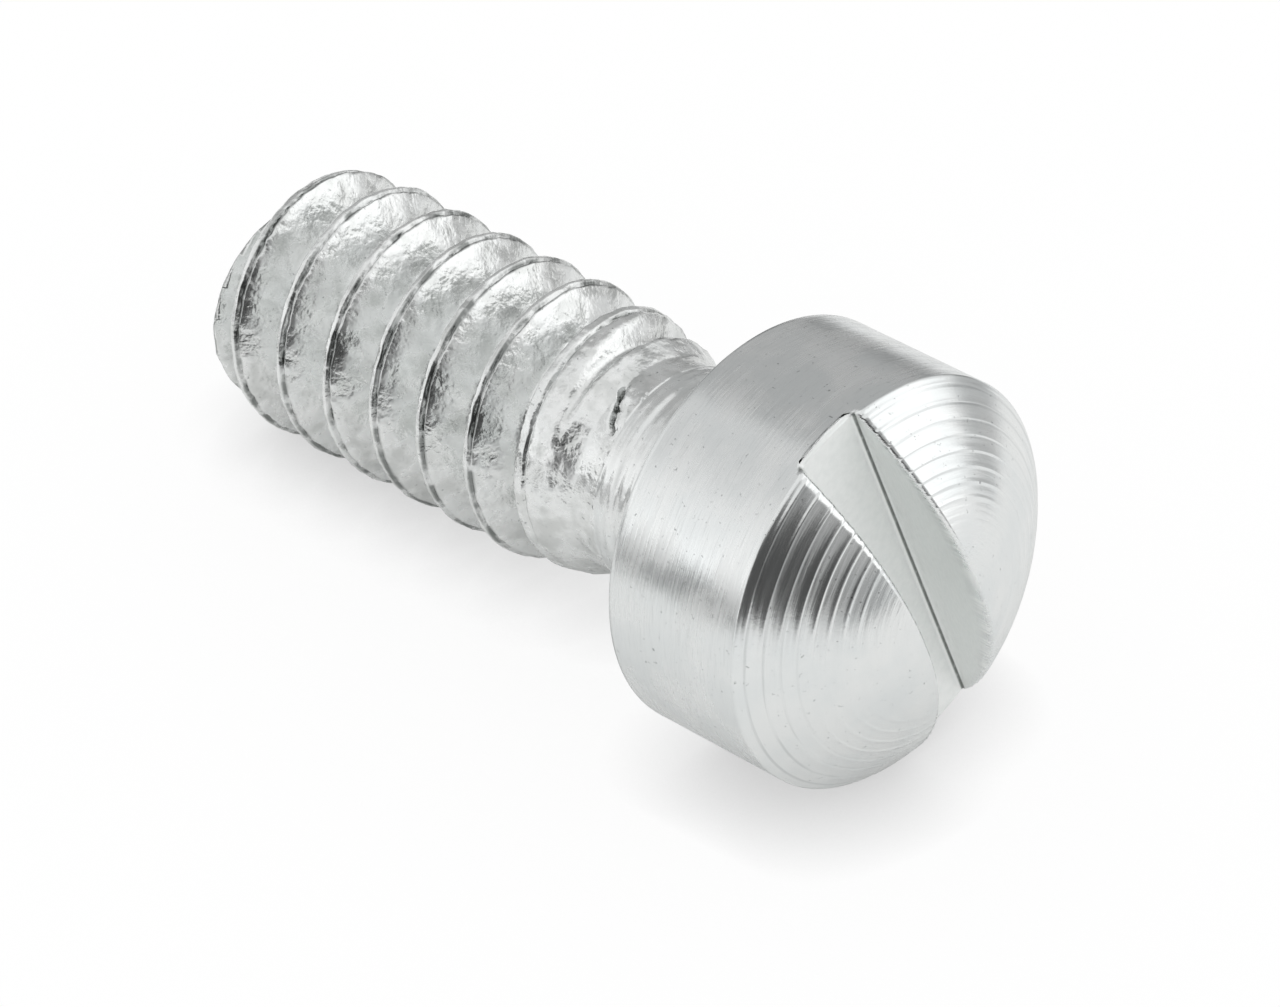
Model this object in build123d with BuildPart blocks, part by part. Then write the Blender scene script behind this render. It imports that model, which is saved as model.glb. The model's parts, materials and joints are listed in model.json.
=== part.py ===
import os
from math import atan2, ceil, cos, degrees, radians, sin, tan

from build123d import *

# A slotted fillister-head machine screw, 6-32 UNC, turned and threaded as one piece.
# It is shaped standing on Z, with the head up and the bearing face at Z = 0, and is then
# laid down as it comes to rest: the head's bearing rim and one crest near the tip touch
# the surface. Origin: centre of the bearing face. +X: towards the head. +Z: up.

# ---- driving dimensions, millimetres and degrees ----
# Thread
thread_diameter = 3.34          # over the crests
pitch = 25.4 / 32
flank_angle = 30.0              # each flank from the groove's middle
crest_flat = pitch / 8
root_flat = pitch / 8
runout_start = 2.36             # from the bearing face to where the full groove ends
runout_turns = 0.75             # how far round the groove takes to fade out

# Shank
shank_length = 7.70             # bearing face to tip
neck_diameter = 2.68
neck_length = 1.70
shoulder_end = 2.90             # from the bearing face to where the shank is full size
neck_fillet = 0.22
tip_chamfer_length = 0.53
tip_chamfer_depth = 0.21

# Head
head_diameter = 5.01
head_side = 1.975               # bearing face to the crown's edge
head_crown = 1.03               # rise of the domed top above that edge
rim_break = 0.05

# Driver slot
slot_width = 0.92
slot_depth = 1.10               # below the top of the crown
slot_angle = 129.5              # round the screw from where the full groove ends

# Rest
rest_roll = -23.0               # from +Y up to where the full groove ends

# Cutting profiles stand this far out of what they cut.
cut_margin = 0.05

# ---- sizes that follow ----
thread_radius = thread_diameter / 2
neck_radius = neck_diameter / 2
head_radius = head_diameter / 2
head_height = head_side + head_crown
groove_depth = (pitch - crest_flat - root_flat) / 2 / tan(radians(flank_angle))
root_radius = thread_radius - groove_depth
crown_radius = (head_radius**2 + head_crown**2) / (2 * head_crown)
full_turns = ceil((shank_length + pitch / 2 - runout_start) / pitch)
runout_length = pitch * runout_turns
runout_rise = neck_radius - root_radius + cut_margin


def groove_section(height):
    """The V between two crests, in the XZ plane, with its middle at this height."""
    half_root = root_flat / 2
    top = thread_radius + cut_margin
    half_top = half_root + (top - root_radius) * tan(radians(flank_angle))
    with BuildSketch(Plane.XZ) as section:
        with BuildLine():
            Polyline(
                (root_radius, height - half_root),
                (top, height - half_top),
                (top, height + half_top),
                (root_radius, height + half_root),
                close=True,
            )
        make_face()
    return section.sketch


def lowest_full_crest():
    """How far down the shank the last full crest passes the underside, when at rest."""
    turns_to_underside = (-90.0 - rest_roll) / 360.0
    first_crest = runout_start - pitch * (turns_to_underside + 0.5)
    last_full = shank_length - tip_chamfer_length
    return first_crest + pitch * ((last_full - first_crest) // pitch)


# ---- thread groove: one full-depth turn, and the turn that fades out at the neck ----
turn_foot = -runout_start - pitch
with BuildPart() as groove_turn:
    with BuildLine() as turn_path:
        Helix(pitch=pitch, height=pitch, radius=root_radius, center=(0, 0, turn_foot))
    sweep(groove_section(turn_foot), path=turn_path.wires()[0], is_frenet=True)

with BuildPart() as fading_groove:
    with BuildLine() as fading_path:
        Helix(
            pitch=pitch,
            height=runout_length,
            radius=root_radius,
            center=(0, 0, -runout_start),
            cone_angle=degrees(atan2(runout_rise, runout_length)),
        )
    sweep(groove_section(-runout_start), path=fading_path.wires()[0], is_frenet=True)

# ---- the screw, upright ----
with BuildPart() as upright_screw:
    # Turned blank: half its section, revolved.
    with BuildSketch(Plane.XZ) as blank:
        with BuildLine():
            tip_edge = (thread_radius - tip_chamfer_depth, -shank_length)
            chamfer_end = (thread_radius, -shank_length + tip_chamfer_length)
            shoulder_top = (thread_radius, -shoulder_end)
            neck_start = (neck_radius, -neck_length)
            fillet_start = (neck_radius, -neck_fillet)
            fillet_end = (neck_radius + neck_fillet, 0)
            rim_start = (head_radius - rim_break, 0)
            side_start = (head_radius, rim_break)
            crown_edge = (head_radius, head_side)
            Polyline((0, 0), (0, -shank_length), tip_edge, chamfer_end)
            Polyline(chamfer_end, shoulder_top, neck_start, fillet_start)
            RadiusArc(fillet_start, fillet_end, neck_fillet)
            Polyline(fillet_end, rim_start, side_start, crown_edge)
            RadiusArc(crown_edge, (0, head_height), -crown_radius)
            Line((0, head_height), (0, 0))
        make_face()
    revolve(axis=Axis.Z)

    # Thread, cut turn by turn from the neck to past the tip.
    for turn in range(full_turns):
        with Locations((0, 0, -turn * pitch)):
            add(groove_turn.part, mode=Mode.SUBTRACT)
    add(fading_groove.part, mode=Mode.SUBTRACT)

    # Driver slot, sawn straight across the crown.
    with BuildSketch(Plane.XY.offset(head_height - slot_depth)) as slot:
        Rectangle(
            head_diameter + 2 * cut_margin,
            slot_width,
            rotation=slot_angle,
        )
    extrude(amount=slot_depth + cut_margin, mode=Mode.SUBTRACT)

# ---- laid down at rest ----
rest_tilt = atan2(head_radius - thread_radius, lowest_full_crest())
screw_axis = Vector(cos(rest_tilt), 0, sin(rest_tilt))
side = Vector(0, 1, 0)
top = screw_axis.cross(side)
groove_end_direction = side * cos(radians(rest_roll)) + top * sin(radians(rest_roll))
rest_plane = Plane(origin=(0, 0, 0), x_dir=groove_end_direction, z_dir=screw_axis)

with BuildPart(rest_plane) as panel_screw:
    add(upright_screw.part)

panel_screw.part.label = "panel_screw"
os.makedirs("parts", exist_ok=True)
export_step(panel_screw.part, "parts/panel_screw.step")
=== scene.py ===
import json
import math

import bmesh
import bpy
import numpy as np
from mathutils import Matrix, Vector, noise


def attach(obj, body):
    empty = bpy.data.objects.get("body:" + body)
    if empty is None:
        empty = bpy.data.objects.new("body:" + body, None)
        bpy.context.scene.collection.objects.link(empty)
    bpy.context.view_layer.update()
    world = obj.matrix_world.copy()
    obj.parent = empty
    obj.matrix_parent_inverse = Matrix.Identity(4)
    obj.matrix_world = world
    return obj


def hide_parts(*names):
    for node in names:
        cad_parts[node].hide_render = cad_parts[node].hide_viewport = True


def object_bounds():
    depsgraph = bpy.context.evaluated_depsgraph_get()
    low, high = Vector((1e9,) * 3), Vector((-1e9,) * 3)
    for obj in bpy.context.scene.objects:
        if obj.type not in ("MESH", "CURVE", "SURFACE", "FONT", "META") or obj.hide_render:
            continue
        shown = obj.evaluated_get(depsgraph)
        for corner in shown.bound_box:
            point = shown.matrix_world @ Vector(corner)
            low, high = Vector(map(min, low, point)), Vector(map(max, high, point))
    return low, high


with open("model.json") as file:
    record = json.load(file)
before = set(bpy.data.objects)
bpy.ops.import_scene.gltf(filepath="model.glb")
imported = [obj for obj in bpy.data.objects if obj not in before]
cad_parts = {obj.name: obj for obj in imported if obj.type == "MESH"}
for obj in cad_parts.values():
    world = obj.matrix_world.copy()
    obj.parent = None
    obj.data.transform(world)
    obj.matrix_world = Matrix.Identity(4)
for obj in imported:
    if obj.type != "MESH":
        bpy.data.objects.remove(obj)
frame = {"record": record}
cad_low, cad_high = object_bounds()

# Every shape is worked out in millimetres in the screw's own frame: z along its axis from
# the bearing face towards the head's top, and angles round it from where the thread's full
# groove ends. to_row() turns that into the row's frame, in metres.
MM = 0.001

# ---- sizes of the CAD part, in millimetres and degrees ----
PITCH = 25.4 / 32
THREAD_R = 3.34 / 2
FLAT = PITCH / 8                 # crest and root flats
FLANK = math.radians(30.0)
GROOVE_DEPTH = (PITCH - 2 * FLAT) / 2 / math.tan(FLANK)
ROOT_R = THREAD_R - GROOVE_DEPTH
RUNOUT_START = 2.36
RUNOUT_TURNS = 0.75
SHANK = 7.70
NECK_R = 2.68 / 2
NECK_LENGTH = 1.70
SHOULDER_END = 2.90
FILLET = 0.22
TIP_CHAMFER_LENGTH = 0.53
TIP_CHAMFER_DEPTH = 0.21
HEAD_R = 5.008 / 2               # a hair under the CAD part's 5.01
HEAD_SIDE = 1.975
CROWN_RISE = 1.03
RIM_BREAK = 0.05
SLOT_W = 0.92
SLOT_DEPTH = 1.10
SLOT_ANGLE = math.radians(129.5)
REST_ROLL = math.radians(-23.0)
CROWN_R = (HEAD_R**2 + CROWN_RISE**2) / (2 * CROWN_RISE)
FLOOR_Z = HEAD_SIDE + CROWN_RISE - SLOT_DEPTH

# ---- the screw's axis and its roll, from the bearing face's mount ----
bearing = next(m for m in frame["record"]["mounts"] if m["name"] == "bearing_face")
AXIS = -Vector(bearing["axis"]).normalized()
ORIGIN = Vector(bearing["pos_m"])
SIDE = Vector((0, 1, 0))
TOP = AXIS.cross(SIDE)
ROLL_X = SIDE * math.cos(REST_ROLL) + TOP * math.sin(REST_ROLL)
ROLL_Y = AXIS.cross(ROLL_X)
BASIS = np.array([ROLL_X, ROLL_Y, AXIS])


def to_row(points_mm):
    """Points in the screw's own frame, in millimetres, to the row's frame, in metres."""
    return np.asarray(points_mm) @ BASIS * MM + np.array(ORIGIN)


def ramp(x, low, high):
    """0 below low, 1 above high, smooth between."""
    t = np.clip((np.asarray(x, float) - low) / (high - low), 0, 1)
    return t * t * (3 - 2 * t)


def soft_min(a, b, blend):
    """The smaller of two radii, with the corner between them rounded."""
    h = np.clip(0.5 + 0.5 * (b - a) / blend, 0, 1)
    return b * (1 - h) + a * h - blend * h * (1 - h)


def soft_max(a, b, blend):
    return -soft_min(-a, -b, blend)


def noise_at(points, scale, offset=0.0):
    """Smooth noise from -1 to 1, the same each run, at points in millimetres."""
    shift = Vector((offset, offset * 0.7, -offset))
    return np.array([noise.noise(Vector(p) * scale + shift) for p in points])


class Skin:
    """Collects grids of points, then welds them into one closed mesh."""

    def __init__(self):
        self.verts, self.faces, self.tint = [], [], []
        self.count = 0

    def grid(self, points, tint):
        """points: rows by columns by xyz. tint: crown, thread and slot weights."""
        rows, cols = points.shape[:2]
        self.verts.append(points.reshape(-1, 3))
        self.tint.append(np.broadcast_to(tint, (rows, cols, 3)).reshape(-1, 3))
        a = (np.arange(rows - 1)[:, None] * cols + np.arange(cols - 1)).ravel() + self.count
        self.faces.append(np.stack([a, a + 1, a + cols + 1, a + cols], 1))
        self.count += rows * cols

    def build(self, name, weld=2e-5):
        verts = np.concatenate(self.verts)
        tint = np.concatenate(self.tint)
        mesh = bpy.data.meshes.new(name)
        mesh.from_pydata(verts.tolist(), [], np.concatenate(self.faces).tolist())
        colour = mesh.color_attributes.new("finish", "FLOAT_COLOR", "POINT")
        rgba = np.ones((len(verts), 4), dtype=np.float32)
        rgba[:, :3] = tint
        colour.data.foreach_set("color", rgba.ravel())
        bm = bmesh.new()
        bm.from_mesh(mesh)
        bmesh.ops.remove_doubles(bm, verts=bm.verts, dist=weld)
        bmesh.ops.dissolve_degenerate(bm, edges=bm.edges, dist=weld)
        bmesh.ops.recalc_face_normals(bm, faces=bm.faces)
        bm.to_mesh(mesh)
        bm.free()
        flat = np.empty(len(mesh.vertices) * 3)
        mesh.vertices.foreach_get("co", flat)
        placed = to_row(flat.reshape(-1, 3))
        mesh.vertices.foreach_set("co", placed.ravel())
        mesh.polygons.foreach_set("use_smooth", [True] * len(mesh.polygons))
        mesh.update()
        piece = bpy.data.objects.new(name, mesh)
        bpy.context.scene.collection.objects.link(piece)
        return piece


# weights of the crown, thread and slot finishes; the neck is part thread, part plain
PLAIN, CROWN, THREAD, SLOT, NECK = (0, 0, 0), (1, 0, 0), (0, 1, 0), (0, 0, 1), (0, 0.35, 0)

# ---- columns round the screw: they fall on the slot's edges all the way down ----
LOBE_STEPS, GAP_STEPS = 84, 12
slot_half_angle = math.asin(SLOT_W / 2 / HEAD_R)
lobe_angles = np.linspace(slot_half_angle, math.pi - slot_half_angle, LOBE_STEPS + 1)
gap_angles = np.linspace(-slot_half_angle, slot_half_angle, GAP_STEPS + 1)
ROUND = SLOT_ANGLE + np.concatenate(
    [gap_angles[:-1], lobe_angles[:-1], gap_angles[:-1] + math.pi, lobe_angles + math.pi]
)


def rings(radii, heights):
    """A grid of circles. radii and heights: one per ring, or one per ring and column."""
    shape = (len(radii), len(ROUND))
    r = np.broadcast_to(np.asarray(radii, float).reshape(len(radii), -1), shape)
    z = np.broadcast_to(np.asarray(heights, float).reshape(len(radii), -1), shape)
    return np.stack([r * np.cos(ROUND), r * np.sin(ROUND), z], -1)


# ---- the shank's surface as a radius at each height and angle ----
SHOULDER_ROUND_LENGTH = 0.35     # the shoulder rises steeply at first, so it is fuller than
SHOULDER_ROUND_RISE = 0.17       # the CAD part's cone by up to 0.07
GROOVE_BLEND = 0.05              # rounding at the groove's root
CREST_BLEND = 0.035              # and at its crests


def envelope(z):
    """The turned blank's radius: neck, shoulder, full shank and tip chamfer."""
    round_end = NECK_LENGTH + SHOULDER_ROUND_LENGTH
    return np.interp(
        -z,
        [NECK_LENGTH, round_end, SHOULDER_END, SHANK - TIP_CHAMFER_LENGTH, SHANK],
        [NECK_R, NECK_R + SHOULDER_ROUND_RISE, THREAD_R, THREAD_R, THREAD_R - TIP_CHAMFER_DEPTH],
    )


def turns_at(z, angle):
    """Turns of the helix from the full groove's end: whole at a groove's middle."""
    return (z + RUNOUT_START) / PITCH - angle / (2 * math.pi)


def shank_radius(z, angle):
    """The blank's radius, or the groove's where that is deeper."""
    turns = turns_at(z, angle)
    branch = np.round(turns)
    off_middle = np.abs(turns - branch) * PITCH
    past_full = branch + angle / (2 * math.pi)
    root = ROOT_R + (THREAD_R - ROOT_R) * ramp(past_full, 0.0, RUNOUT_TURNS)
    groove = soft_max(root, root + (off_middle - FLAT / 2) / math.tan(FLANK), GROOVE_BLEND)
    groove = np.where(past_full > RUNOUT_TURNS, THREAD_R + 1, groove)
    return soft_min(envelope(z), groove, CREST_BLEND)


# ---- wear on the shank ----
SEAM_SHARE = 0.552               # where the seam runs on each crest, as a share of the pitch
SEAM_DEPTH, SEAM_WIDTH = 0.058, 0.019
LIP_FROM, LIP_TO = math.radians(129), math.radians(150)
LIP_FROM_Z, LIP_TO_Z = -1.66, -1.46


def bell(x, width):
    return np.exp(-((x / width) ** 2))


def torn_lip(z, angle):
    """A short jagged tear where the last groove runs out: a torn groove beside a burr."""
    run, sweep = LIP_TO_Z - LIP_FROM_Z, (LIP_TO - LIP_FROM) * THREAD_R
    dz, arc = z - LIP_FROM_Z, (angle - LIP_FROM) * THREAD_R
    share = np.clip((dz * run + arc * sweep) / (run**2 + sweep**2), 0, 1)
    past_z, past_arc = dz - share * run, arc - share * sweep
    off = (past_z * sweep - past_arc * run) / math.hypot(run, sweep)
    past_end = np.hypot(past_z, past_arc) - np.abs(off)
    off = off + 0.022 * np.sin(share * 31.0) * np.sin(share * 13.0 + 1.0)
    shape = 0.060 * bell(off - 0.045, 0.032) - 0.165 * bell(off + 0.02, 0.036)
    fade = ramp(share, -0.1, 0.12) * ramp(-share, -1.1, -0.88)
    return shape * bell(past_end, 0.05) * fade


def shank_point_grid(z, angle):
    """Points of the shank's surface, with the crest seam and the rough plating."""
    radius = shank_radius(z, angle)
    flat = np.stack([radius * np.cos(angle), radius * np.sin(angle), z], -1).reshape(-1, 3)
    coarse = noise_at(flat, 3.4).reshape(z.shape)
    middle = noise_at(flat, 8.0, 4.0).reshape(z.shape)
    fine = noise_at(flat, 17.0, 9.0).reshape(z.shape)
    turns = turns_at(z, angle)
    from_seam = (turns - np.floor(turns) - SEAM_SHARE) * PITCH + 0.012 * middle
    threaded = ramp(-z, NECK_LENGTH + 0.3, NECK_LENGTH + 0.9)
    uneven = np.clip(0.85 + 0.9 * coarse + 0.5 * middle, 0.3, 1.35)
    seam = SEAM_DEPTH * uneven * threaded * bell(from_seam, SEAM_WIDTH)
    rough = 0.12 + 0.88 * ramp(-z, NECK_LENGTH - 0.2, NECK_LENGTH + 0.3)
    lumps = 0.013 * coarse + 0.012 * middle + 0.0045 * fine - 0.010
    fade_in = ramp(-z, -TOP_Z, -TOP_Z + 0.05)
    radius = radius - seam + fade_in * (rough * lumps + torn_lip(z, angle))
    return np.stack([radius * np.cos(angle), radius * np.sin(angle), z], -1)


BOX_MARGIN = 0.002               # the CAD part's own box is a hair smaller than its sizes
TOP_Z = -1.38                    # where the helical rows hand over to the neck's rings
ROWS_IN_PITCH = np.array(
    [0, .035, .07, .11, .16, .21, .26, .31, .36, .40, .425, .445, .46, .48, .50, .515]
    + [.53, .542, .553, .565, .58, .60, .64, .69, .74, .79, .84, .89, .93, .965]
)


def add_thread(skin):
    """The thread and its runout, on rows that follow the helix and end square."""
    lead = PITCH * ROUND / (2 * math.pi)
    low, high = -SHANK - lead[-1], TOP_Z - lead[0]
    turns = np.arange(math.floor(low / PITCH) - 1, math.ceil(high / PITCH) + 5)
    rows = (turns[:, None] + ROWS_IN_PITCH).ravel() * PITCH - RUNOUT_START
    rows = rows[(rows > low - 0.05 * PITCH) & (rows < high + 0.05 * PITCH)]
    z = np.clip(rows[:, None] + lead, -SHANK + BOX_MARGIN, TOP_Z)
    skin.grid(shank_point_grid(z, np.broadcast_to(ROUND, z.shape)), THREAD)


def add_tip(skin):
    """The flat end face, from the chamfer's edge in to the axis."""
    z = np.full(ROUND.shape, -SHANK + BOX_MARGIN)
    edge = shank_point_grid(z[None, :], ROUND[None, :])[0]
    shares = np.array([1, 0.985, 0.96, 0.9, 0.8, 0.65, 0.5, 0.35, 0.2, 0.08, 0])
    rows = edge[None, :, :] * np.array([1, 1, 0]) * shares[:, None, None]
    rows[:, :, 2] = -SHANK + BOX_MARGIN + 0.012 * ramp(1 - shares, 0.0, 0.04)[:, None]
    skin.grid(rows, THREAD)


def add_neck(skin):
    """Neck with its tool marks, the fillet, and the bearing face out to the rim."""
    heights = np.linspace(TOP_Z, -FILLET, 46)
    marks = 0.013 * np.sin(heights * 31.0) * np.sin(heights * 11.0 + 1.0)
    marks = marks * ramp(-heights, FILLET, FILLET + 0.08) * ramp(-heights, -TOP_Z, -TOP_Z - 0.08)
    neck = rings(NECK_R + marks, heights)
    neck[0] = shank_point_grid(np.full((1, len(ROUND)), TOP_Z), ROUND[None, :])[0]
    skin.grid(neck, NECK)
    turn = np.linspace(0, math.pi / 2, 8)
    fillet = rings(NECK_R + FILLET * (1 - np.cos(turn)), -FILLET * (1 - np.sin(turn)))
    skin.grid(fillet, PLAIN)
    face = np.linspace(NECK_R + FILLET, HEAD_R - RIM_BREAK, 14)
    skin.grid(rings(face, np.zeros_like(face)), PLAIN)


def add_side(skin):
    """The head's side, from the rim's break up to the slot's floor."""
    heights = np.linspace(RIM_BREAK, FLOOR_Z, 40)
    gap = np.concatenate([[0], np.ones(GAP_STEPS - 1)])
    drop = np.concatenate([gap, np.zeros(LOBE_STEPS), gap, np.zeros(LOBE_STEPS + 1)])
    grid_heights = np.repeat(heights[:, None], len(ROUND), 1)
    grid_heights[-1] -= SLOT_END * drop
    marks = 0.0009 * np.sin(heights * 61.0) * np.sin(heights * 23.0)
    marks = marks * ramp(heights, RIM_BREAK, 0.2) * ramp(-heights, -FLOOR_Z, -FLOOR_Z + 0.1)
    skin.grid(rings([HEAD_R - RIM_BREAK, HEAD_R], [0, RIM_BREAK]), PLAIN)
    skin.grid(rings(HEAD_R - np.abs(marks), grid_heights), PLAIN)


# ---- the crown: two lobes either side of the slot, on rings that end at the slot ----
EDGE_BREAK = 0.035               # the slot's top edges
RIM_EDGE = 0.018                 # the crown's outer edge
SLOT_END = 0.075                 # the ends of the slot's floor
WALL_ROWS = 5
CROWN_RINGS = 100
RIDGE_STEP = 0.155               # the feed marks' ridges, counted in from the rim
FIRST_RIDGE = 0.065
RIDGES = HEAD_R - FIRST_RIDGE - RIDGE_STEP * np.arange(8)
RIDGE_HEIGHTS = np.array([0.0060, 0.0085, 0.0085, 0.0080, 0.0080, 0.0055, 0.0040, 0.0030])
RIDGE_WIDTH = 0.017


def crown_radii():
    """Even rings, with closer ones over each ridge."""
    outer = HEAD_R - RIM_EDGE
    even = np.linspace(SLOT_W / 2 + EDGE_BREAK, outer, CROWN_RINGS)
    even = even[np.abs(even[:, None] - RIDGES).min(1) > 0.044]
    close = (RIDGES[:, None] + 0.0095 * np.arange(-4, 5)).ravel()
    close = close[close < outer - 0.004]
    return np.unique(np.concatenate([even, close, [outer, HEAD_R]]).round(6))


ring_radii = crown_radii()


def crown_height(radius):
    """The dome with its turned rings: hollow feed marks with sharp ridges between."""
    dome = HEAD_SIDE + CROWN_RISE - CROWN_R + np.sqrt(np.maximum(CROWN_R**2 - radius**2, 0))
    inward = HEAD_R - radius
    phase = (inward - FIRST_RIDGE) / RIDGE_STEP
    hollow = 0.62 - np.abs(np.sin(math.pi * phase))
    fine = np.sin(2 * math.pi * inward / 0.083 + 1.3)
    ridge = (RIDGE_HEIGHTS * bell(radius - RIDGES, RIDGE_WIDTH)).sum()
    strength = ramp(radius, 0.9, 2.0)
    relief = 0.0045 * hollow * strength + 0.0011 * fine * ramp(radius, 0.2, 1.4) + ridge
    return dome + relief * ramp(inward, 0.0, 0.06) - 0.011 * strength


def lobe(turn):
    """One lobe as rings by columns; its first and last columns are the lowered edges."""
    half = SLOT_W / 2
    points = np.zeros((len(ring_radii), LOBE_STEPS + 1, 3))
    for i, radius in enumerate(ring_radii):
        start = math.asin(min(1.0, (half + EDGE_BREAK) / radius))
        angles = np.linspace(start, math.pi - start, LOBE_STEPS - 1)
        edge = math.asin(half / radius)
        height = float(crown_height(radius))
        if radius == HEAD_R:
            angles = lobe_angles[1:-1]
            height = HEAD_SIDE - RIM_EDGE
        angles = np.concatenate([[edge], angles, [math.pi - edge]])
        z = np.full(len(angles), height)
        z[[0, -1]] -= EDGE_BREAK * 0.9
        points[i] = np.stack([radius * np.cos(angles), radius * np.sin(angles), z], -1)
    return turned(points, SLOT_ANGLE + turn)


def turned(points, angle):
    """The points turned about the screw's axis."""
    c, s = math.cos(angle), math.sin(angle)
    x, y, z = points[..., 0], points[..., 1], points[..., 2]
    return np.stack([x * c - y * s, x * s + y * c, z], -1)


def down_to_floor(edge):
    """Rows from an edge straight down to the height of the slot's floor."""
    share = np.linspace(1, 0, WALL_ROWS)[:, None]
    rows = np.repeat(edge[None], WALL_ROWS, 0).copy()
    rows[..., 2] = FLOOR_Z + (edge[:, 2] - FLOOR_Z) * share
    return rows


def add_crown(skin):
    """Both lobes, their side walls and the slot's walls, then the slot's floor."""
    walls = []
    for turn in (0.0, math.pi):
        points = lobe(turn)
        skin.grid(points, CROWN)
        skin.grid(down_to_floor(points[-1]), PLAIN)
        first, apex, last = points[0][0], points[0][1], points[0][-1]
        skin.grid(np.array([[first, last], [apex, apex]]), CROWN)
        wall_edge = np.concatenate([points[::-1, 0], points[:, -1]])
        skin.grid(down_to_floor(wall_edge), SLOT)
        walls.append(turned(wall_edge, -SLOT_ANGLE))
    along = walls[0][:, 0]
    columns = []
    for angle in gap_angles:
        reach = math.cos(angle) / math.cos(slot_half_angle)
        across = HEAD_R * math.sin(angle)
        height = np.full_like(along, FLOOR_Z)
        inside = 1.0 if abs(angle) < slot_half_angle - 1e-6 else 0.0
        height[[0, -1]] -= SLOT_END * inside
        height[[1, -2]] -= SLOT_END * 0.35 * inside
        columns.append(np.stack([along * reach, np.full_like(along, across), height], -1))
    skin.grid(turned(np.array(columns), SLOT_ANGLE), SLOT)


skin = Skin()
add_thread(skin)
add_tip(skin)
add_neck(skin)
add_side(skin)
add_crown(skin)
screw = skin.build("panel_screw_finished")
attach(screw, "root")
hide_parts("panel_screw")


# ---- material ----
class Nodes:
    """Short calls for the nodes used below."""

    def __init__(self, tree):
        self.tree = tree

    def put(self, socket, item):
        if hasattr(item, "links"):
            self.tree.links.new(item, socket)
        elif item is not None:
            socket.default_value = item

    def math(self, operation, a, b=None, clamp=False):
        node = self.tree.nodes.new("ShaderNodeMath")
        node.operation, node.use_clamp = operation, clamp
        self.put(node.inputs[0], a)
        self.put(node.inputs[1], b)
        return node.outputs[0]

    def times(self, a, b):
        return self.math("MULTIPLY", a, b)

    def plus(self, a, b):
        return self.math("ADD", a, b)

    def minus(self, a, b):
        return self.math("SUBTRACT", a, b)

    def apart(self, a, b):
        """How far a is from b, either way."""
        return self.math("ABSOLUTE", self.minus(a, b))

    def vector(self, operation, a, b=None):
        node = self.tree.nodes.new("ShaderNodeVectorMath")
        node.operation = operation
        self.put(node.inputs[0], a)
        self.put(node.inputs[1], b)
        return node.outputs["Value" if operation in ("DOT_PRODUCT", "LENGTH") else "Vector"]

    def pack(self, x, y, z):
        node = self.tree.nodes.new("ShaderNodeCombineXYZ")
        for socket, item in zip(node.inputs, (x, y, z)):
            self.put(socket, item)
        return node.outputs[0]

    def noise(self, vector, scale, detail=2.0, roughness=0.5):
        node = self.tree.nodes.new("ShaderNodeTexNoise")
        self.put(node.inputs["Vector"], vector)
        node.inputs["Scale"].default_value = scale
        node.inputs["Detail"].default_value = detail
        node.inputs["Roughness"].default_value = roughness
        return node.outputs["Fac"]

    def span(self, value, low, high, to_low=0.0, to_high=1.0):
        node = self.tree.nodes.new("ShaderNodeMapRange")
        node.interpolation_type = "SMOOTHSTEP"
        for socket, item in zip(node.inputs, (value, low, high, to_low, to_high)):
            self.put(socket, item)
        return node.outputs["Result"]

    def mix(self, share, a, b):
        node = self.tree.nodes.new("ShaderNodeMix")
        for socket, item in zip((node.inputs[0], node.inputs[2], node.inputs[3]), (share, a, b)):
            self.put(socket, item)
        return node.outputs[0]

    def mix_colour(self, share, a, b):
        node = self.tree.nodes.new("ShaderNodeMix")
        node.data_type = "RGBA"
        for socket, item in zip((node.inputs[0], node.inputs[6], node.inputs[7]), (share, a, b)):
            self.put(socket, item)
        return node.outputs[2]


class Marks:
    """The finish's weights, places and patterns, as sockets of one material."""

    def __init__(self, n):
        place = n.tree.nodes.new("ShaderNodeTexCoord").outputs["Object"]
        self.axial, self.x, self.y = (
            n.vector("DOT_PRODUCT", place, tuple(direction / MM))
            for direction in (AXIS, ROLL_X, ROLL_Y)
        )
        own = n.pack(self.x, self.y, self.axial)
        self.own = own
        self.radial = n.vector("LENGTH", n.pack(self.x, self.y, 0.0))
        self.angle = n.math("ARCTAN2", self.y, self.x)
        finish = n.tree.nodes.new("ShaderNodeAttribute")
        finish.attribute_name = "finish"
        split = n.tree.nodes.new("ShaderNodeSeparateColor")
        n.put(split.inputs[0], finish.outputs["Color"])
        self.crown, self.thread, self.slot = split.outputs
        others = n.plus(self.crown, n.plus(self.thread, self.slot))
        self.plain = n.math("SUBTRACT", 1.0, others, clamp=True)

        # turned marks run round the screw: long in angle, short along the axis or the radius
        round_x, round_y = n.math("DIVIDE", self.x, self.radial), n.math("DIVIDE", self.y, self.radial)
        drawn = n.pack(n.times(self.axial, 22.0), n.times(round_x, 3.0), n.times(round_y, 3.0))
        swept = n.pack(n.times(self.radial, 17.0), n.times(round_x, 1.6), n.times(round_y, 1.6))
        self.brushed = n.noise(drawn, 1.0, 4.0, 0.62)
        self.streaks = n.noise(drawn, 2.3, 2.0, 0.7)
        self.ringed = n.noise(swept, 1.0, 3.0, 0.65)
        self.mottle = n.noise(own, 3.6, 3.0, 0.55)
        self.grain = n.noise(own, 17.0, 3.0, 0.6)
        self.cloud = n.noise(own, 1.5, 3.0, 0.55)
        self.sawn = n.noise(n.pack(n.times(self.axial, 6.0), self.x, self.y), 9.0, 3.0, 0.6)


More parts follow.
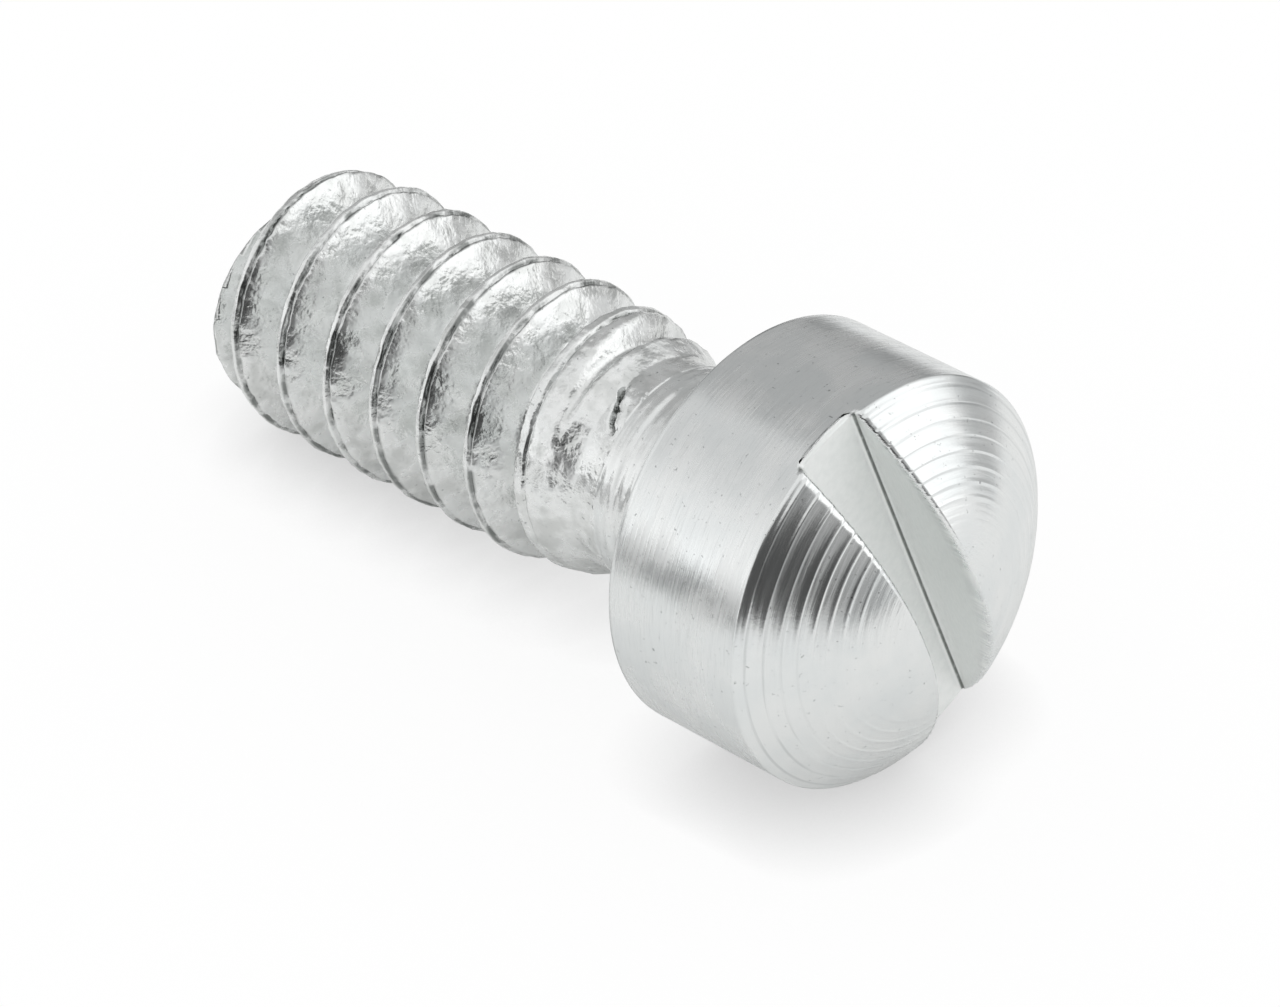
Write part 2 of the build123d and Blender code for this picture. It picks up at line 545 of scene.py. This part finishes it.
def surface_height(n, m):
    """Heights in metres for the bump."""
    height = n.times(n.times(m.brushed, 4.6e-6), m.plain)
    height = n.plus(height, n.times(n.times(m.ringed, 3.6e-6), m.crown))
    lumps = n.plus(n.times(m.mottle, 3.0e-5), n.times(m.grain, 4.0e-6))
    height = n.plus(height, n.times(lumps, m.thread))
    height = n.plus(height, n.times(n.times(m.sawn, 1.6e-6), m.slot))
    return n.plus(height, n.times(m.grain, 0.8e-6))


def surface_roughness(n, m):
    """Roughness by region, each broken up by its own marks."""
    rough = n.span(m.brushed, 0.3, 0.7, 0.19, 0.30)
    rough = n.plus(rough, n.span(m.cloud, 0.4, 0.65, -0.03, 0.05))
    rough = n.mix(m.crown, rough, n.span(m.ringed, 0.3, 0.7, 0.15, 0.25))
    rough = n.mix(m.thread, rough, n.span(m.mottle, 0.35, 0.65, 0.17, 0.32))
    return n.mix(m.slot, rough, n.span(m.sawn, 0.3, 0.7, 0.44, 0.56))


def seam_painted_shade(n, m):
    """Irregular dark lines of painted shade in the crest seams of the full thread."""
    turns = n.math("DIVIDE", n.plus(m.axial, RUNOUT_START), PITCH)
    turns = n.minus(turns, n.math("DIVIDE", m.angle, 2 * math.pi))
    line = n.span(n.apart(n.math("FRACT", turns), SEAM_SHARE), 0.055, 0.018)
    along = n.span(m.axial, -NECK_LENGTH - 0.5, -NECK_LENGTH - 1.0)
    uneven = n.span(m.mottle, 0.62, 0.42, 0.15, 0.85)
    return n.times(n.times(n.times(line, along), m.thread), uneven)


def lip_painted_shade(n, m):
    """Black painted shade along the groove of the torn lip."""
    climb = n.times(n.minus(m.angle, LIP_FROM), 0.55)
    off = n.minus(n.plus(m.axial, 0.02 - LIP_FROM_Z), climb)
    off = n.math("ABSOLUTE", n.plus(off, n.times(n.minus(m.grain, 0.5), 0.16)))
    line = n.times(n.span(off, 0.052, 0.020), n.span(m.angle, LIP_FROM - 0.04, LIP_FROM + 0.05))
    return n.times(n.times(line, n.span(m.angle, LIP_TO + 0.03, LIP_TO - 0.06)), 0.85)


def ridge_painted_shade(n, m):
    """Faint rings of painted shade beside the crown's outer ridges."""
    phase = n.math("DIVIDE", n.minus(m.radial, HEAD_R - FIRST_RIDGE), RIDGE_STEP)
    line = n.span(n.apart(n.math("FRACT", phase), 0.80), 0.13, 0.03)
    line = n.times(line, n.span(m.radial, 1.75, 2.3, 0.0, 0.55))
    return n.times(n.times(line, m.crown), n.span(m.ringed, 0.62, 0.40, 0.1, 1.0))


def corner_painted_shade(n, m):
    """The dark line of painted shade where the slot's floor meets its walls."""
    across = n.vector("DOT_PRODUCT", m.own, (-math.sin(SLOT_ANGLE), math.cos(SLOT_ANGLE), 0.0))
    corner = n.apart(n.math("ABSOLUTE", across), SLOT_W / 2)
    line = n.times(n.span(corner, 0.042, 0.012), n.span(n.apart(m.axial, FLOOR_Z), 0.036, 0.010))
    return n.times(n.times(line, n.span(m.sawn, 0.2, 0.5, 0.55, 0.95)), m.slot)


def surface_colour(n, m):
    """Bright zinc, duller in the thread's hollows, with pits, painted shade in the crest seams, the
    torn lip, beside the ridges and in the slot's corners, and the slot painted paler so that it
    renders brighter.
    """
    # the slot's metal is painted paler than the zinc so that the recess renders brighter: painted
    # light
    slot_painted_paler = n.mix_colour(
        n.span(m.sawn, 0.3, 0.7), (0.90, 0.92, 0.91, 1), (0.96, 0.975, 0.965, 1)
    )
    colour = n.mix_colour(
        n.span(m.cloud, 0.35, 0.65), (0.785, 0.81, 0.81, 1), (0.835, 0.85, 0.845, 1)
    )
    streak = n.times(n.span(m.streaks, 0.52, 0.72), n.times(m.plain, 0.35))
    dull = n.times(n.times(n.span(m.mottle, 0.58, 0.32), m.thread), 0.50)
    for share, layer in (
        (streak, (0.62, 0.64, 0.64, 1)),
        (n.times(m.thread, 0.5), (0.92, 0.93, 0.92, 1)),
        (dull, (0.52, 0.535, 0.52, 1)),
        (n.times(n.span(m.grain, 0.36, 0.24), 0.7), (0.22, 0.23, 0.23, 1)),
        # painted shade in the crest seams, the torn lip's groove and beside the crown's ridges
        (seam_painted_shade(n, m), (0.16, 0.17, 0.165, 1)),
        (lip_painted_shade(n, m), (0.06, 0.065, 0.06, 1)),
        (ridge_painted_shade(n, m), (0.50, 0.52, 0.52, 1)),
        # the slot painted paler, then painted shade in its corners
        (m.slot, slot_painted_paler),
        (corner_painted_shade(n, m), (0.20, 0.215, 0.205, 1)),
    ):
        colour = n.mix_colour(share, colour, layer)
    return colour


def plated_steel():
    material = bpy.data.materials.new("plated_steel")
    material.use_nodes = True
    n = Nodes(material.node_tree)
    m = Marks(n)
    bump = material.node_tree.nodes.new("ShaderNodeBump")
    bump.inputs["Strength"].default_value = 1.0
    bump.inputs["Distance"].default_value = 1.0
    n.put(bump.inputs["Height"], surface_height(n, m))
    shader = material.node_tree.nodes["Principled BSDF"]
    shader.inputs["Metallic"].default_value = 1.0
    n.put(shader.inputs["Normal"], bump.outputs[0])
    n.put(shader.inputs["Roughness"], surface_roughness(n, m))
    n.put(shader.inputs["Base Color"], surface_colour(n, m))
    return material


screw.data.materials.append(plated_steel())


# ---- floor, camera, light ----
PAPER_RADIUS, PAPER_STEPS = 15.0, 96
SHADOW_REACH = 1.1               # how far from the screw the contact shadow spreads
SHADOW_SHARE = 0.44              # how dark it gets
GLOW_SHARE = 0.90                # how much of the paper's white doesn't depend on the light
CAMERA_AT = Vector((39.04, -41.96, 50.47))
CAMERA_AIM = Vector((-1.04, -0.91, 0.17))
CAMERA_LENS, CAMERA_SENSOR = 188.6, 36.0


def make_floor():
    """A round sheet of paper under the screw."""
    around = np.linspace(0, 2 * math.pi, PAPER_STEPS, endpoint=False)
    ring = PAPER_RADIUS * MM * np.stack([np.cos(around), np.sin(around), 0 * around], -1)
    mesh = bpy.data.meshes.new("floor")
    mesh.from_pydata(ring.tolist(), [], [tuple(range(PAPER_STEPS))])
    floor = bpy.data.objects.new("floor", mesh)
    middle = (cad_low + cad_high) / 2
    floor.location = (middle.x, middle.y, cad_low.z)
    bpy.context.scene.collection.objects.link(floor)
    material = bpy.data.materials.new("floor_paper")
    material.use_nodes = True
    tree = material.node_tree
    n = Nodes(tree)
    shader = tree.nodes["Principled BSDF"]
    shader.inputs["Base Color"].default_value = (0.90, 0.90, 0.895, 1)
    shader.inputs["Roughness"].default_value = 1.0
    shader.inputs["Specular IOR Level"].default_value = 0.0
    # what the camera sees: white paper that keeps the shadow close to the screw
    near = tree.nodes.new("ShaderNodeAmbientOcclusion")
    near.samples = 6
    near.inputs["Distance"].default_value = SHADOW_REACH * MM
    glow = tree.nodes.new("ShaderNodeEmission")
    n.put(glow.inputs["Color"], n.mix_colour(SHADOW_SHARE, (1, 1, 1, 1), near.outputs["Color"]))
    white = tree.nodes.new("ShaderNodeBsdfDiffuse")
    white.inputs["Color"].default_value = (1, 1, 1, 1)
    paper = tree.nodes.new("ShaderNodeMixShader")
    n.put(paper.inputs[0], GLOW_SHARE)
    n.put(paper.inputs[1], white.outputs[0])
    n.put(paper.inputs[2], glow.outputs[0])
    seen = tree.nodes.new("ShaderNodeMixShader")
    n.put(seen.inputs[0], tree.nodes.new("ShaderNodeLightPath").outputs["Is Camera Ray"])
    n.put(seen.inputs[1], shader.outputs[0])
    n.put(seen.inputs[2], paper.outputs[0])
    n.put(tree.nodes["Material Output"].inputs["Surface"], seen.outputs[0])
    mesh.materials.append(material)


def make_camera():
    data = bpy.data.cameras.new("camera")
    data.sensor_width = CAMERA_SENSOR
    data.lens = CAMERA_LENS
    data.clip_start, data.clip_end = 0.002, 2.0
    camera = bpy.data.objects.new("camera", data)
    camera.location = CAMERA_AT * MM
    camera.rotation_euler = (CAMERA_AIM - CAMERA_AT).to_track_quat("-Z", "Y").to_euler()
    bpy.context.scene.collection.objects.link(camera)
    bpy.context.scene.camera = camera


# What the metal reflects, each over those before it: azimuth and elevation from and to, how
# soft the edges are, all in degrees, and the brightness.
SKY = 0.90
REFLECTED = (
    ((12, 78), (0, 48), 6, 8, 1.28),          # window
    ((-12, 13), (-13, 46), 5, 4, 0.40),       # its frame
    ((-85, -10), (-4, 42), 6, 3, 0.07),       # a dark room
    ((-155, -108), (10, 24), 8, 6, 1.0),      # low sky
    ((-155, -108), (2, 12), 8, 2, 1.22),      # lit edge of the table
    ((-155, -108), (-14, 1), 8, 2, 0.30),     # and its far side in shade
    ((-180, -138), (28, 60), 8, 8, 0.70),     # ceiling
    ((60, 100), (-14, 8), 7, 5, 0.50),        # low wall beside the window
    ((100, 180), (2, 60), 8, 4, 0.46),        # grey wall
    ((95, 165), (-10, 3), 8, 3, 0.24),        # its foot
)


def make_world():
    """White to the camera and to the floor. Polished metal sees a lit studio with a dark side."""
    world = bpy.data.worlds.new("studio")
    bpy.context.scene.world = world
    world.use_nodes = True
    tree = world.node_tree
    n = Nodes(tree)
    split = tree.nodes.new("ShaderNodeSeparateXYZ")
    n.put(split.inputs[0], tree.nodes.new("ShaderNodeTexCoord").outputs["Generated"])
    degrees = 180 / math.pi
    azimuth = n.times(n.math("ARCTAN2", split.outputs["Y"], split.outputs["X"]), degrees)
    elevation = n.times(n.math("ARCSINE", split.outputs["Z"]), degrees)

    def between(value, low, high, soft):
        rising = n.span(value, low - soft, low + soft)
        return n.times(rising, n.span(value, high + soft, high - soft))

    level = SKY
    for az, el, soft_az, soft_el, radiance in REFLECTED:
        patch = n.times(between(azimuth, *az, soft_az), between(elevation, *el, soft_el))
        level = n.mix(patch, level, radiance)
    glossy = tree.nodes.new("ShaderNodeLightPath").outputs["Is Glossy Ray"]
    n.put(tree.nodes["Background"].inputs["Strength"], n.mix(glossy, 1.0, level))
    tree.nodes["Background"].inputs["Color"].default_value = (1, 1, 1, 1)


make_floor()
make_camera()
make_world()
bpy.context.scene.view_settings.view_transform = "Standard"
